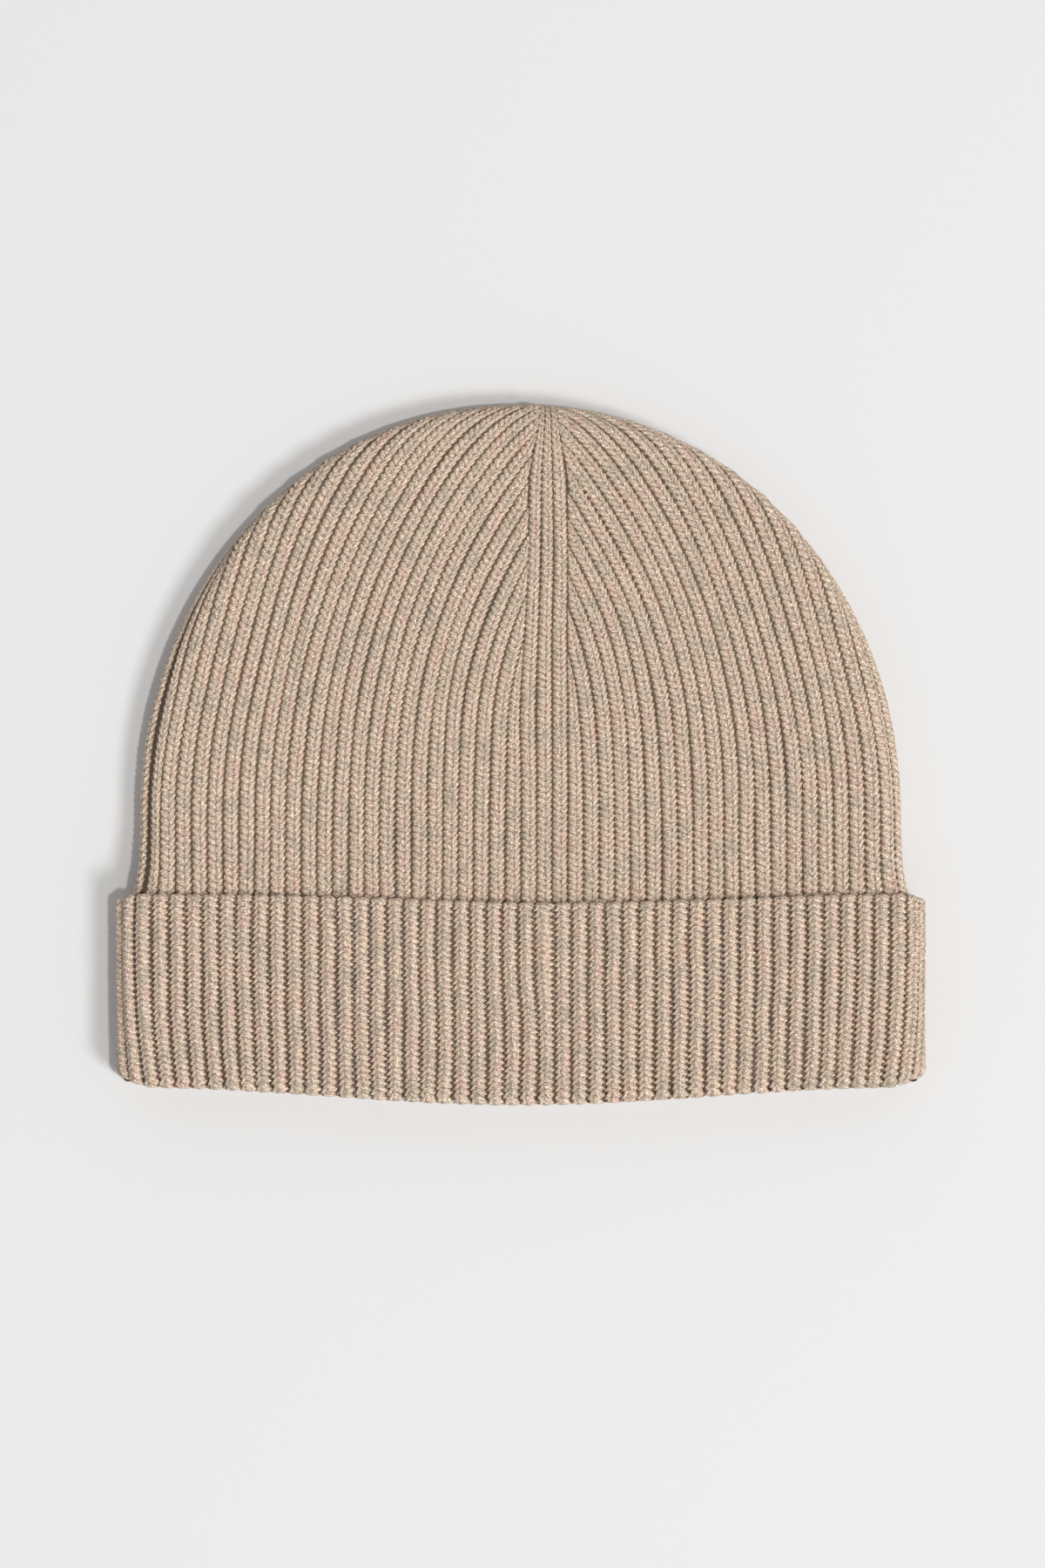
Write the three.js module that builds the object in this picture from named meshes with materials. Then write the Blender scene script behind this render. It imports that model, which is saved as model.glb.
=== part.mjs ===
// A cuffed rib-knit beanie lying flat on a table, with its cuff turned up.
// Millimetres. +Z is up, +Y runs from the rim to the crown, and the hat rests on z = 0.
// The knit fabric is built as the layers it has: a tube, four crown gores linked by seams,
// and a turned-up cuff whose bottom fold wraps over the rim of the tube.
import * as THREE from "three";

// ---- driving dimensions ----
const bodyHalfWidth = 110;
const cuffHalfWidth = 116.3;
const apexY = 101.2;
const crownBaseY = -19;
const hemY = -40.5;
const hemSag = 2.2;
const foldY = -101;
const foldSag = 5;
const sagHalfSpan = 110;

const fabric = 2.8;
const layerGap = 0.3;
const cavityHeight = 9;
const crownThickness = 16.2;
const foldDepth = 5;

const slitWidth = 1.5;
const seamWidth = 0.9;
const seamRecess = 0.8;
const bodySeamX = 9.2;
const cuffSeamX = 9.8;
const weltDepth = 2.6;
const apexCut = 0.035;

const labelWidth = 26;
const labelLength = 20;
const labelThickness = 0.5;
const labelY = -66;
const labelX = -30;
const stitchSize = 0.4;

// ---- sizes worked out from them ----
const cuffThickness = cavityHeight + 4 * fabric + 2 * layerGap;
const bodyThickness = cavityHeight + 2 * fabric;
const bodyFloor = fabric + layerGap;
const lipDepth = 2 * fabric + layerGap;
const rimHalfWidth = cuffHalfWidth - fabric - layerGap;
const crownRoll = (crownThickness - slitWidth) / 2;
const crownMiddle = crownThickness / 2;

const yarnColour = 0xb3a48f;
const seamColour = 0x8d7f6c;
const labelColour = 0xe9e5dc;

const clamp = (value, low, high) => Math.min(high, Math.max(low, value));
const mix = (a, b, share) => a + (b - a) * share;

function smoothStep(low, high, value) {
  const share = clamp((value - low) / (high - low), 0, 1);
  return share * share * (3 - 2 * share);
}

// ---- outline of the flat hat ----

// The fold and the hem both hang lower in the middle than at the sides.
function foldLine(x) {
  return foldY + foldSag * smoothStep(0, sagHalfSpan, Math.abs(x));
}

function hemLine(x) {
  return hemY - hemSag * (1 - smoothStep(0, sagHalfSpan, Math.abs(x)));
}

// Above the cuff the tube narrows a little and settles from the cuff's inside to the table.
function tubeSection(y, inset) {
  const settled = smoothStep(hemY + 2, crownBaseY, y);
  const narrowed = smoothStep(hemY + 1, crownBaseY - 4, y);
  const low = mix(bodyFloor, 0, settled) + inset;
  const high = mix(bodyFloor + bodyThickness, crownThickness, settled) - inset;
  return { halfWidth: mix(rimHalfWidth, bodyHalfWidth, narrowed) - inset, low, high };
}

function cuffSection(depth) {
  return { halfWidth: cuffHalfWidth - depth, low: depth, high: cuffThickness - depth };
}

// One cross-section of the crown; share runs from 0 at its base to 1 at the apex.
function crownSection(share, inset) {
  const angle = share * Math.PI / 2;
  const halfWidth = (bodyHalfWidth - inset) * Math.cos(angle);
  const y = crownBaseY + (apexY - crownBaseY - inset) * Math.sin(angle);
  const fullRoll = crownRoll - inset;
  const fromApex = Math.min(apexY - inset - y, fullRoll);
  const roll = Math.sqrt(fullRoll ** 2 - (fullRoll - fromApex) ** 2);
  const centreX = bodySeamX * (1 - halfWidth / bodyHalfWidth) ** 6;
  return { halfWidth, y, roll, centreX };
}

// ---- stations round a flattened loop ----

// A station is either an angle on a side roll or a share of the way across a face.
function faceStations(face, fromShare, toShare, count) {
  const stations = [];
  for (let i = 0; i <= count; i += 1) {
    stations.push({ face, across: mix(fromShare, toShare, i / count) });
  }
  return stations;
}

function rollStations(side, fromAngle, toAngle, count) {
  const stations = [];
  for (let i = 1; i < count; i += 1) {
    stations.push({ side, angle: mix(fromAngle, toAngle, i / count) });
  }
  return stations;
}

// Stations all the way round, starting and ending at the slit in the upper face.
function slitLoopStations(faceCount, rollCount) {
  const quarter = Math.PI / 2;
  return [
    { slit: -1 },
    ...faceStations(1, -0.2, -1, faceCount / 2),
    ...rollStations(-1, quarter, -quarter, rollCount),
    ...faceStations(-1, -1, 1, faceCount),
    ...rollStations(1, -quarter, quarter, rollCount),
    ...faceStations(1, 1, 0.3, faceCount / 2),
    { slit: 1 },
  ];
}

function loopPoint(station, section, slitX) {
  const radius = (section.high - section.low) / 2;
  const middle = (section.high + section.low) / 2;
  const straight = section.halfWidth - radius;
  if (station.slit) {
    return { x: slitX + station.slit * slitWidth / 2, z: section.high };
  }
  if (station.side) {
    const x = station.side * (straight + radius * Math.cos(station.angle));
    return { x, z: middle + radius * Math.sin(station.angle) };
  }
  return { x: straight * station.across, z: middle + radius * station.face };
}

// ---- one closed body from a profile carried along a row of stations ----

// Every column is the same closed profile; the two end columns are capped.
function sweptSolid(columns, capTriangles) {
  const count = columns[0].length;
  const positions = columns.flat().flatMap((point) => [point.x, point.y, point.z]);
  const indices = [];
  for (let c = 0; c + 1 < columns.length; c += 1) {
    for (let p = 0; p < count; p += 1) {
      const next = (p + 1) % count;
      const a = c * count + p;
      const b = c * count + next;
      const d = a + count;
      const e = b + count;
      indices.push(a, b, d, b, e, d);
    }
  }
  const last = (columns.length - 1) * count;
  for (const [i, j, k] of capTriangles) {
    indices.push(i, k, j);
    indices.push(last + i, last + j, last + k);
  }
  return outwardGeometry(positions, indices);
}

function signedVolume(positions, indices) {
  const corner = (i) => new THREE.Vector3().fromArray(positions, 3 * i);
  let volume = 0;
  for (let i = 0; i < indices.length; i += 3) {
    const cross = corner(indices[i + 1]).cross(corner(indices[i + 2]));
    volume += corner(indices[i]).dot(cross) / 6;
  }
  return volume;
}

function outwardGeometry(positions, indices) {
  if (signedVolume(positions, indices) < 0) {
    indices.reverse();
  }
  const geometry = new THREE.BufferGeometry();
  geometry.setAttribute("position", new THREE.Float32BufferAttribute(positions, 3));
  geometry.setIndex(indices);
  return geometry;
}

function capOf(profile) {
  const outline = profile.map((point) => new THREE.Vector2(point.row, point.depth));
  const triangles = THREE.ShapeUtils.triangulateShape(outline, []);
  return THREE.ShapeUtils.isClockWise(outline) ? triangles.map(([i, j, k]) => [i, k, j]) : triangles;
}

// A wall's profile: out along its outer face, then back along its inner face.
function wallProfile(rows, outerDepth, innerDepth) {
  const outer = rows.map((row) => ({ row, depth: outerDepth }));
  const inner = rows.map((row) => ({ row, depth: innerDepth })).reverse();
  return [...outer, ...inner];
}

// A wall's cap is a ladder of triangles between its outer and its inner face.
function wallCap(profile) {
  const last = profile.length - 1;
  const triangles = [];
  for (let i = 0; i + 1 < profile.length / 2; i += 1) {
    triangles.push([i, i + 1, last - i - 1], [i, last - i - 1, last - i]);
  }
  return triangles;
}

function rowsBetween(from, to, count) {
  return Array.from({ length: count + 1 }, (_, i) => mix(from, to, i / count));
}

// ---- the knitted tube ----

function tubePoint(station, point) {
  const section = tubeSection(point.row, point.depth);
  const { x, z } = loopPoint(station, section, bodySeamX);
  const rim = foldLine(x) + foldDepth + layerGap;
  return { x, y: Math.max(point.row, rim), z };
}

function bodyTube() {
  const rows = [foldY + 4, -88, hemY, ...rowsBetween(hemY + 4, crownBaseY - layerGap / 2, 4)];
  const profile = wallProfile(rows, 0, fabric);
  const stations = slitLoopStations(8, 8);
  const columns = stations.map((station) => profile.map((point) => tubePoint(station, point)));
  return sweptSolid(columns, wallCap(profile));
}

// The linking seam sits in the slit, a little below the outer face.
function backSeam() {
  const rows = [foldY + 4, hemY, ...rowsBetween(hemY + 4, crownBaseY - layerGap / 2, 4)];
  const profile = wallProfile(rows, seamRecess, fabric);
  const columns = [-1, 1].map((side) => profile.map((point) => {
    const x = bodySeamX + side * seamWidth / 2;
    const rim = foldLine(x) + foldDepth + layerGap;
    return { x, y: Math.max(point.row, rim), z: tubeSection(point.row, point.depth).high };
  }));
  return sweptSolid(columns, wallCap(profile));
}

// ---- the crown ----

const crownRows = [...rowsBetween(0, 0.7, 6), ...rowsBetween(0.76, 1 - apexCut, 7)];

// Stations from the side seam, round the roll and across the face to the middle seam.
function goreStations() {
  const rollSteps = rowsBetween(0, Math.PI / 2, 5);
  const faceSteps = [0.3, 0.65, 1];
  return [
    ...rollSteps.map((angle) => ({ angle, across: 0 })),
    ...faceSteps.map((across) => ({ angle: Math.PI / 2, across })),
  ];
}

function gorePoint(side, face, station, point) {
  const section = crownSection(point.row, point.depth);
  const rollX = section.halfWidth - section.roll * (1 - Math.cos(station.angle));
  const edgeX = section.centreX + side * rollX;
  const x = mix(edgeX, bodySeamX + side * slitWidth / 2, station.across);
  const rise = slitWidth / 2 + section.roll * Math.sin(station.angle);
  const start = point.row === 0 ? layerGap / 2 : 0;
  return { x, y: section.y + start, z: crownMiddle + face * rise };
}

function crownGore(side, face) {
  const profile = wallProfile(crownRows, 0, fabric);
  const columns = goreStations().map((station) =>
    profile.map((point) => gorePoint(side, face, station, point)));
  return sweptSolid(columns, wallCap(profile));
}

// The middle seams run up the upper and the lower face from the crown's base to its apex.
function middleCrownSeam(face) {
  const profile = wallProfile(crownRows, seamRecess, fabric);
  const columns = [-1, 1].map((side) => profile.map((point) => {
    const section = crownSection(point.row, point.depth);
    const start = point.row === 0 ? layerGap / 2 : 0;
    const z = crownMiddle + face * (slitWidth / 2 + section.roll);
    return { x: bodySeamX + side * seamWidth / 2, y: section.y + start, z };
  }));
  return sweptSolid(columns, wallCap(profile));
}

// The side seams follow the outline of the crown, between the upper and lower gores.
function sideCrownSeam(side) {
  const profile = wallProfile(crownRows, seamRecess, fabric);
  const columns = [-1, 1].map((face) => profile.map((point) => {
    const section = crownSection(point.row, point.depth);
    const start = point.row === 0 ? layerGap / 2 : 0;
    const x = section.centreX + side * section.halfWidth;
    return { x, y: section.y + start, z: crownMiddle + face * seamWidth / 2 };
  }));
  return sweptSolid(columns, wallCap(profile));
}

// The gathered end of the yarn, drawn tight behind the apex.
function crownClosure() {
  const knot = new THREE.SphereGeometry(1, 12, 8);
  knot.scale(3.6, 2.6, 1.9);
  knot.translate(bodySeamX, apexY - fabric - 8, crownMiddle);
  return knot;
}

// ---- the turned-up cuff ----

// A profile row counts up from the fold when low is true, and down from the hem otherwise.
function cuffPoint(station, point) {
  const { x, z } = loopPoint(station, cuffSection(point.depth), cuffSeamX);
  const y = point.low ? foldLine(x) + point.row : hemLine(x) - point.row;
  return { x, y, z };
}

// The outer face, the rolled fold that laps the rim of the tube, and the inner face.
function cuffProfile() {
  const top = weltDepth + layerGap;
  const middle = lipDepth / 2;
  const foldSteps = rowsBetween(0, Math.PI, 6);
  return [
    { depth: 0, row: top },
    ...foldSteps.map((angle) => ({
      depth: middle * (1 - Math.cos(angle)),
      row: foldDepth * (1 - Math.sin(angle)),
      low: true,
    })),
    { depth: fabric, row: foldDepth, low: true },
    { depth: fabric, row: top },
  ];
}

function capOfCuff(profile) {
  const flat = profile.map((point) => ({
    depth: point.depth,
    row: point.low ? foldLine(cuffSeamX) + point.row : hemLine(cuffSeamX) - point.row,
  }));
  return capOf(flat);
}

function cuff() {
  const profile = cuffProfile();
  const stations = slitLoopStations(12, 10);
  const columns = stations.map((station) => profile.map((point) => cuffPoint(station, point)));
  return sweptSolid(columns, capOfCuff(profile));
}

// The knitted starting edge: a rounded welt along the top of the cuff.
function cuffHem() {
  const corner = 0.9;
  const profile = [
    { depth: 0, row: weltDepth },
    { depth: 0, row: corner },
    { depth: corner, row: 0 },
    { depth: fabric - corner, row: 0 },
    { depth: fabric, row: corner },
    { depth: fabric, row: weltDepth },
  ];
  const stations = slitLoopStations(12, 10);
  const columns = stations.map((station) => profile.map((point) => cuffPoint(station, point)));
  return sweptSolid(columns, capOfCuff(profile));
}

function cuffSeam() {
  const profile = [
    { depth: seamRecess, row: 0.6 },
    { depth: seamRecess, row: foldDepth, low: true },
    { depth: fabric, row: foldDepth, low: true },
    { depth: fabric, row: 0.6 },
  ];
  const columns = [-1, 1].map((side) => profile.map((point) => {
    const x = cuffSeamX + side * seamWidth / 2;
    const y = point.low ? foldLine(x) + point.row : hemLine(x) - point.row;
    return { x, y, z: cuffSection(point.depth).high };
  }));
  return sweptSolid(columns, capOfCuff(profile));
}

// ---- the label inside the upper face ----

function box(width, length, height, x, y, z) {
  const solid = new THREE.BoxGeometry(width, length, height);
  solid.translate(x, y, z);
  return solid;
}

const labelTop = bodyFloor + bodyThickness - fabric - layerGap;

function careLabel() {
  const z = labelTop - labelThickness / 2;
  return box(labelWidth, labelLength, labelThickness, labelX, labelY, z);
}

function careLabelStitches() {
  const z = labelTop - labelThickness - layerGap - stitchSize / 2;
  const y = labelY + labelLength / 2 - 1.5;
  return box(labelWidth - 4, stitchSize, stitchSize, labelX, y, z);
}

// ---- assembly ----

function material(colour, roughness) {
  return new THREE.MeshStandardMaterial({ color: colour, roughness, metalness: 0 });
}

const hat = new THREE.Group();

function addPart(name, geometry, colour, roughness) {
  const mesh = new THREE.Mesh(geometry, material(colour, roughness));
  mesh.name = name;
  hat.add(mesh);
}

addPart("body_tube", bodyTube(), yarnColour, 0.95);
addPart("back_seam", backSeam(), seamColour, 0.95);

const sides = { left: -1, right: 1 };
const faces = { back: 1, front: -1 };
for (const [faceName, face] of Object.entries(faces)) {
  for (const [sideName, side] of Object.entries(sides)) {
    addPart(`crown_gore_${faceName}_${sideName}`, crownGore(side, face), yarnColour, 0.95);
  }
  addPart(`crown_seam_${faceName}`, middleCrownSeam(face), seamColour, 0.95);
}
for (const [sideName, side] of Object.entries(sides)) {
  addPart(`crown_seam_${sideName}`, sideCrownSeam(side), seamColour, 0.95);
}
addPart("crown_closure", crownClosure(), seamColour, 0.95);

addPart("cuff", cuff(), yarnColour, 0.95);
addPart("cuff_hem", cuffHem(), yarnColour, 0.95);
addPart("cuff_seam", cuffSeam(), seamColour, 0.95);

addPart("care_label", careLabel(), labelColour, 0.6);
addPart("care_label_stitches", careLabelStitches(), labelColour, 0.8);

export default hat;
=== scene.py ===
"""Looks of a cuffed rib-knit beanie lying flat, built stitch by stitch round the CAD part.

Every rib of the knit is a strip of mesh that follows its own line over the hat. Lengths are in
millimetres until a mesh is made. +X is right, +Y runs up to the crown, +Z is up.
"""

import math

import bpy
import numpy as np
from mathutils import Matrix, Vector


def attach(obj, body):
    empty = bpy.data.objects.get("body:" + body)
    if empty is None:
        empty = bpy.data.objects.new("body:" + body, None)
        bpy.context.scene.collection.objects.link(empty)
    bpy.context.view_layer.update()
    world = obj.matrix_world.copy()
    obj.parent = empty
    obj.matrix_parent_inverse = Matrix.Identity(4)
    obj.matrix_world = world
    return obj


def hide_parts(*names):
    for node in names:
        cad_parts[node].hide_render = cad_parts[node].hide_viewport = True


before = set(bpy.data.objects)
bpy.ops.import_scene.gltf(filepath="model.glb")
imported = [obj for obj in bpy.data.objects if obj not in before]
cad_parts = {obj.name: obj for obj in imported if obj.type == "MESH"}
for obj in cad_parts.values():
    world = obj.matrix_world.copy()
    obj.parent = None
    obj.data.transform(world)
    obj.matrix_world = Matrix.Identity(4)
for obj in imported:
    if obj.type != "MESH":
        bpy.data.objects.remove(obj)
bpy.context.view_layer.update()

MM = 0.001

# ---- the flat hat ----
FABRIC = 2.8
HALF_FABRIC = FABRIC / 2
LAYER_GAP = 0.3
CAVITY = 9.0
CUFF_HALF_WIDTH = 116.3
BODY_HALF_WIDTH = 110.0
RIM_HALF_WIDTH = CUFF_HALF_WIDTH - FABRIC - LAYER_GAP
APEX_Y = 101.2
CROWN_BASE = -19.0
HEM_Y = -40.5
HEM_SAG = 2.4
HEM_LOWEST_X = 12.0
FOLD_Y = -101.0
FOLD_SAG = 5.0
SAG_SPAN = 110.0
FOLD_DEPTH = 5.0
RIM_Y = FOLD_Y + FOLD_DEPTH + LAYER_GAP
CORNER_RISE = 3.0
HEM_CORNER = 1.8
FOLD_CORNER_X = SAG_SPAN - 4
HEM_CORNER_X = SAG_SPAN - 2
CORNER_END_X = SAG_SPAN + 13
BODY_FLOOR = FABRIC + LAYER_GAP
BODY_THICKNESS = CAVITY + 2 * FABRIC
CROWN_THICKNESS = 16.2
CUFF_THICKNESS = CAVITY + 4 * FABRIC + 2 * LAYER_GAP
CROWN_POWER = 2.06
QUARTER = math.pi / 2
UNROLLED_EXTRA = QUARTER - 1
SETTLE_FROM = HEM_Y + 2
FLARE_BOTTOM, FLARE_TOP = HEM_Y - 12, HEM_Y + 10
FLARE_WIDTH = 14

# ---- the knit ----
FACE_RIBS = 50
SEAM_RIB = 27
STROKE_DEPTH = 0.72
WIDE_SLANT = 0.62
NARROW_SLANT = 1.05
RIB_CURVE = 2.2
SWAY = 0.08
LEFT_CREASE = 0.32
RIB_SPREAD = 0.98
HEM_SPREAD = 1.03
INNER_SPREAD = 1.06


class RibStyle:
    """How a rib is shaped: where its legs part, its height, its gutters and its beaded edges."""

    def __init__(self, groove, height, valley, beads):
        self.groove = groove
        self.height = height
        self.valley = valley
        self.beads = beads


BODY_RIB = RibStyle(groove=0.15, height=1.35, valley=0.85, beads=0.08)
CUFF_RIB = RibStyle(groove=-0.25, height=1.9, valley=1.1, beads=0.13)
INNER_RIB = RibStyle(groove=0.15, height=0.9, valley=0.75, beads=0.08)

ACROSS_FINE, ROWS_FINE = 15, 8
ACROSS_PLAIN, ROWS_PLAIN = 9, 4
ACROSS_INNER = 5
FACES = ((1, "back"), (-1, "front"))
SIDES = ((-1, "left"), (1, "right"))
TINY = 1e-9

rng = np.random.default_rng(7)


def mix(a, b, share):
    return a + (b - a) * share


def pair(u, v):
    return np.stack(np.broadcast_arrays(u, v), axis=-1)


def trio(x, y, z):
    return np.stack(np.broadcast_arrays(x, y, z), axis=-1)


def unit(vectors):
    return vectors / np.maximum(np.linalg.norm(vectors, axis=-1, keepdims=True), TINY)


def smooth_step(low, high, value):
    share = np.clip((value - low) / (high - low), 0.0, 1.0)
    return share * share * (3 - 2 * share)


# ---------------------------------------------------------------- smooth random wander


class Wander:
    """A smooth random field over rib number and course, about -1 to 1."""

    INSIDE_LAST_CELL = 2.001

    def __init__(self, ribs, courses, rib_step, course_step):
        self.rib_step = rib_step
        self.course_step = course_step
        shape = (int(ribs / rib_step) + 3, int(courses / course_step) + 3)
        self.knots = rng.normal(0.0, 0.5, shape)

    def __call__(self, rib, course):
        last_row, last_column = np.array(self.knots.shape) - self.INSIDE_LAST_CELL
        rib_place = np.clip(rib / self.rib_step, 0, last_row)
        course_place = np.clip(course / self.course_step, 0, last_column)
        row = np.floor(rib_place).astype(int)
        column = np.floor(course_place).astype(int)
        rib_share = smooth_step(0, 1, rib_place - row)
        course_share = smooth_step(0, 1, course_place - column)
        low = mix(self.knots[row, column], self.knots[row + 1, column], rib_share)
        high = mix(self.knots[row, column + 1], self.knots[row + 1, column + 1], rib_share)
        return mix(low, high, course_share)


FIELD_RIBS, FIELD_COURSES = FACE_RIBS * 2, 140
stitch_size = Wander(FIELD_RIBS, FIELD_COURSES, rib_step=1, course_step=1)
rib_sway = Wander(FIELD_RIBS, FIELD_COURSES, rib_step=1, course_step=12)
cloth_swell = Wander(FIELD_RIBS, FIELD_COURSES, rib_step=7, course_step=16)

# ---------------------------------------------------------------- outline of the hat


def settled(y):
    """0 inside the cuff and 1 from the base of the crown, where the body lies on the table."""
    return smooth_step(SETTLE_FROM, CROWN_BASE, y)


def body_low(y):
    return mix(BODY_FLOOR, 0.0, settled(y)) + HALF_FABRIC


def body_high(y):
    return mix(BODY_FLOOR + BODY_THICKNESS, CROWN_THICKNESS, settled(y)) - HALF_FABRIC


def body_radius(y):
    return (body_high(y) - body_low(y)) / 2


CROWN_RADIUS = float(body_radius(CROWN_BASE))
UNROLLED_HALF = BODY_HALF_WIDTH - HALF_FABRIC + UNROLLED_EXTRA * CROWN_RADIUS
UNROLLED_CROWN = APEX_Y - CROWN_BASE - HALF_FABRIC + UNROLLED_EXTRA * CROWN_RADIUS


def edge_flare(x, y):
    """Near the cuff the side edges of the tube spread out to the cuff's inside."""
    narrowed = smooth_step(FLARE_BOTTOM, FLARE_TOP, y)
    reach = smooth_step(BODY_HALF_WIDTH - FLARE_WIDTH, BODY_HALF_WIDTH, np.abs(x))
    return np.sign(x) * (RIM_HALF_WIDTH - BODY_HALF_WIDTH) * (1 - narrowed) * reach


def fold_line(x):
    """The fold's lowest line: it bows down in the middle and rounds off at the corners."""
    bow = FOLD_SAG * smooth_step(0, SAG_SPAN, np.abs(x))
    return FOLD_Y + bow + CORNER_RISE * smooth_step(FOLD_CORNER_X, CORNER_END_X, np.abs(x))


def hem_line(x):
    """The hem's height: it dips a little right of the middle and falls off at the corners."""
    dip = HEM_SAG * (1 - smooth_step(0, SAG_SPAN - HEM_LOWEST_X, np.abs(x - HEM_LOWEST_X)))
    return HEM_Y - dip - HEM_CORNER * smooth_step(HEM_CORNER_X, CORNER_END_X, np.abs(x))


def rim_line(x):
    return fold_line(x) + FOLD_DEPTH + LAYER_GAP


def body_surface(x, y, height, face):
    """Points on the middle of the body fabric, raised by height, from flat x and y."""
    radius = body_radius(y)
    middle = (body_high(y) + body_low(y)) / 2
    across = np.abs(x) / UNROLLED_HALF
    up = np.maximum(y - CROWN_BASE, 0.0) / UNROLLED_CROWN
    level = np.maximum(across**CROWN_POWER + up**CROWN_POWER, TINY) ** (1 / CROWN_POWER)
    slope_x = np.sign(x) * (across / level) ** (CROWN_POWER - 1) / UNROLLED_HALF
    slope_y = (up / level) ** (CROWN_POWER - 1) / UNROLLED_CROWN
    steepness = np.maximum(np.hypot(slope_x, slope_y), TINY)
    normal_x, normal_y = slope_x / steepness, slope_y / steepness
    distance = np.clip((1 - level) / steepness, 0.0, radius * QUARTER)
    angle = distance / radius
    shift = distance - UNROLLED_EXTRA * radius - radius * (1 - np.cos(angle))
    px = x + normal_x * shift + edge_flare(x, y)
    py = y + normal_y * shift
    pz = middle + face * radius * np.sin(angle)
    return trio(
        px + normal_x * np.cos(angle) * height,
        py + normal_y * np.cos(angle) * height,
        pz + face * np.sin(angle) * height,
    )


# ---------------------------------------------------------------- lines of the ribs

# Degrees the ribs lean towards the seam, at heights up the hat.
LEAN_HEIGHTS = [-30, -10, 2, 11, 21, 31, 41, 61, 81, 91, 101]
LEAN_AT_SEAM = [0, 1, 2, 5, 11, 17, 23, 31, 37, 46, 62]
LEAN_AT_SIDE = [14, 14, 14, 14, 14, 14, 14, 18, 30, 45, 62]


def edge_line(y, inwards):
    """How far out the crown's outline is at height y, moved inwards by that much."""
    up = np.clip((y - CROWN_BASE) / (UNROLLED_CROWN - inwards), 0.0, 1.0)
    half = UNROLLED_HALF - inwards
    return half * np.maximum(1 - up**CROWN_POWER, 0.0) ** (1 / CROWN_POWER)


HEIGHT_STEP, TOP_MARGIN = 0.25, 0.2
SQUEEZE_FROM, SQUEEZED_AT = 5, 65
APEX_SQUEEZE_FROM, APEX_SQUEEZED_AT = APEX_Y - 26, APEX_Y + 1
HEIGHTS = np.arange(RIM_Y, CROWN_BASE + UNROLLED_CROWN - TOP_MARGIN, HEIGHT_STEP)
SEAM_SQUEEZE = smooth_step(SQUEEZE_FROM, SQUEEZED_AT, HEIGHTS)
APEX_SQUEEZE = smooth_step(APEX_SQUEEZE_FROM, APEX_SQUEEZED_AT, HEIGHTS)
TUBE_PITCH = 2 * UNROLLED_HALF / FACE_RIBS


def gutter(index):
    """Where the gutter left of that rib stands in the tube."""
    return -UNROLLED_HALF + index * TUBE_PITCH


def spine_line(tube_x, crown_x, apex_x):
    """A line beside the seam that moves over as the crown narrows."""
    line = mix(tube_x, crown_x, SEAM_SQUEEZE)
    return mix(line, apex_x, APEX_SQUEEZE)


FIRST_SPINE = SEAM_RIB - 2
LAST_SPINE = SEAM_RIB
SPINE_CROWN_X = [2.4, 5.9, 9.3, 13.2]
SPINE_APEX_X = [5.6, 6.9, 8.4, 10.2]
SPINE = {
    index: spine_line(gutter(index), crown_x, apex_x)
    for index, crown_x, apex_x in zip(
        range(FIRST_SPINE, LAST_SPINE + 2), SPINE_CROWN_X, SPINE_APEX_X
    )
}
EDGE_RIBS = {-1: 2, 1: 1}
TUCKED = 0.8
EDGE_THINS_FROM, EDGE_THIN_AT, THIN_EDGE = 10, 75, 0.3
NARROWEST_FACE = 20.0
MOST_OUTWARDS = 1.2
THINNEST_RIB = 0.06


def edge_share(y):
    """Width of the ribs beside the outline: full in the tube, thin towards the apex."""
    return mix(1.0, THIN_EDGE, smooth_step(EDGE_THINS_FROM, EDGE_THIN_AT, y))


def edge_of_ribs(y, side):
    """How far out the inner ribs reach, up to the ribs that keep beside the outline."""
    return edge_line(y, EDGE_RIBS[side] * TUBE_PITCH * edge_share(y))


def lean_at(x, y, side):
    """Tangent of the lean of the ribs; side is -1 left of the seam and 1 right of it."""
    seam_x = gutter(FIRST_SPINE) if side < 0 else gutter(LAST_SPINE + 1)
    outline = edge_of_ribs(y, side)
    outline_lean = edge_of_ribs(y - 1, side) - outline
    at_seam = np.tan(np.radians(np.interp(y, LEAN_HEIGHTS, LEAN_AT_SEAM)))
    cap = np.tan(np.radians(np.interp(y, LEAN_HEIGHTS, LEAN_AT_SIDE)))
    at_side = np.minimum(outline_lean, cap)
    reach = side * max(outline, NARROWEST_FACE) - seam_x
    share = np.clip((x - seam_x) / reach, 0.0, MOST_OUTWARDS)
    return -side * mix(at_seam, at_side, share)


def trace_lines(side):
    """Flat x of every gutter line on one side of the seam, at each of HEIGHTS."""
    if side < 0:
        indices = np.arange(EDGE_RIBS[side], FIRST_SPINE + 1)
    else:
        indices = np.arange(LAST_SPINE + 1, FACE_RIBS - EDGE_RIBS[side] + 1)
    x = gutter(indices).astype(float)
    rows = [x]
    for y in HEIGHTS[:-1]:
        step = lean_at(rows[-1], y, side) * (HEIGHTS[1] - HEIGHTS[0])
        rows.append(rows[-1] + step)
    return {int(i): np.array(rows)[:, n] for n, i in enumerate(indices)}


COURSE_AT_SEAM = 1.78
COURSE_SIDEWAYS, SIDEWAYS_SPAN = 0.31, 100
COURSE_UPWARDS, UPWARDS_FROM, UPWARDS_SPAN = 0.27, 16, 75


def course_height(x, y):
    """Stitches are a little taller towards the sides and towards the crown."""
    sideways = np.abs(x - gutter(SEAM_RIB)) / SIDEWAYS_SPAN
    upwards = np.clip((y - UPWARDS_FROM) / UPWARDS_SPAN, 0.0, 1.0)
    return COURSE_AT_SEAM + COURSE_SIDEWAYS * sideways + COURSE_UPWARDS * upwards


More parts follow.
